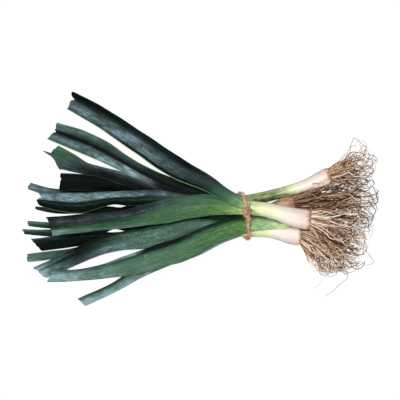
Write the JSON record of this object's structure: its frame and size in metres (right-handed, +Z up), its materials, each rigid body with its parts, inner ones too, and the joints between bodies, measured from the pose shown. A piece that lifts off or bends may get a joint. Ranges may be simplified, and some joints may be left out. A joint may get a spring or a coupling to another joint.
{
  "type": "bunch of leeks",
  "caption": "Bunch of leeks lying on its side, tied with twine at the necks, long dark leaves fanned out one way and pale bulbs with root tufts the other.",
  "frame": {"origin": "centre of the bounding box's base, on the surface that the bunch lies on", "axes": "+X from the cut leaf tips to the roots, +Y across the fan of leaves, +Z up from the surface"},
  "size_m": [0.4676, 0.2729, 0.0576],
  "materials": {
    "shaft": "fresh smooth leek skin, white to pinkish at the bulb and yellow-green at the neck",
    "leaf": "waxy satin dark green leaf with fine parallel veins and a bluish bloom",
    "roots": "matt dry fibrous roots, tan to brown",
    "twine": "matt twisted jute twine, orange-brown with loose fibres"
  },
  "bodies": {
    "root": {"leek_1_shaft": "shaft", "leek_1_leaf_1": "leaf", "leek_1_leaf_2": "leaf", "leek_1_leaf_3": "leaf", "leek_1_leaf_4": "leaf", "leek_1_roots": "roots", "leek_2_shaft": "shaft", "leek_2_leaf_1": "leaf", "leek_2_leaf_2": "leaf", "leek_2_leaf_3": "leaf", "leek_2_leaf_4": "leaf", "leek_2_roots": "roots", "leek_3_shaft": "shaft", "leek_3_leaf_1": "leaf", "leek_3_leaf_2": "leaf", "leek_3_leaf_3": "leaf", "leek_3_roots": "roots", "leek_4_shaft": "shaft", "leek_4_leaf_1": "leaf", "leek_4_leaf_2": "leaf", "leek_4_leaf_3": "leaf", "leek_4_leaf_4": "leaf", "leek_4_roots": "roots", "twine": "twine"}
  },
  "joints": []
}
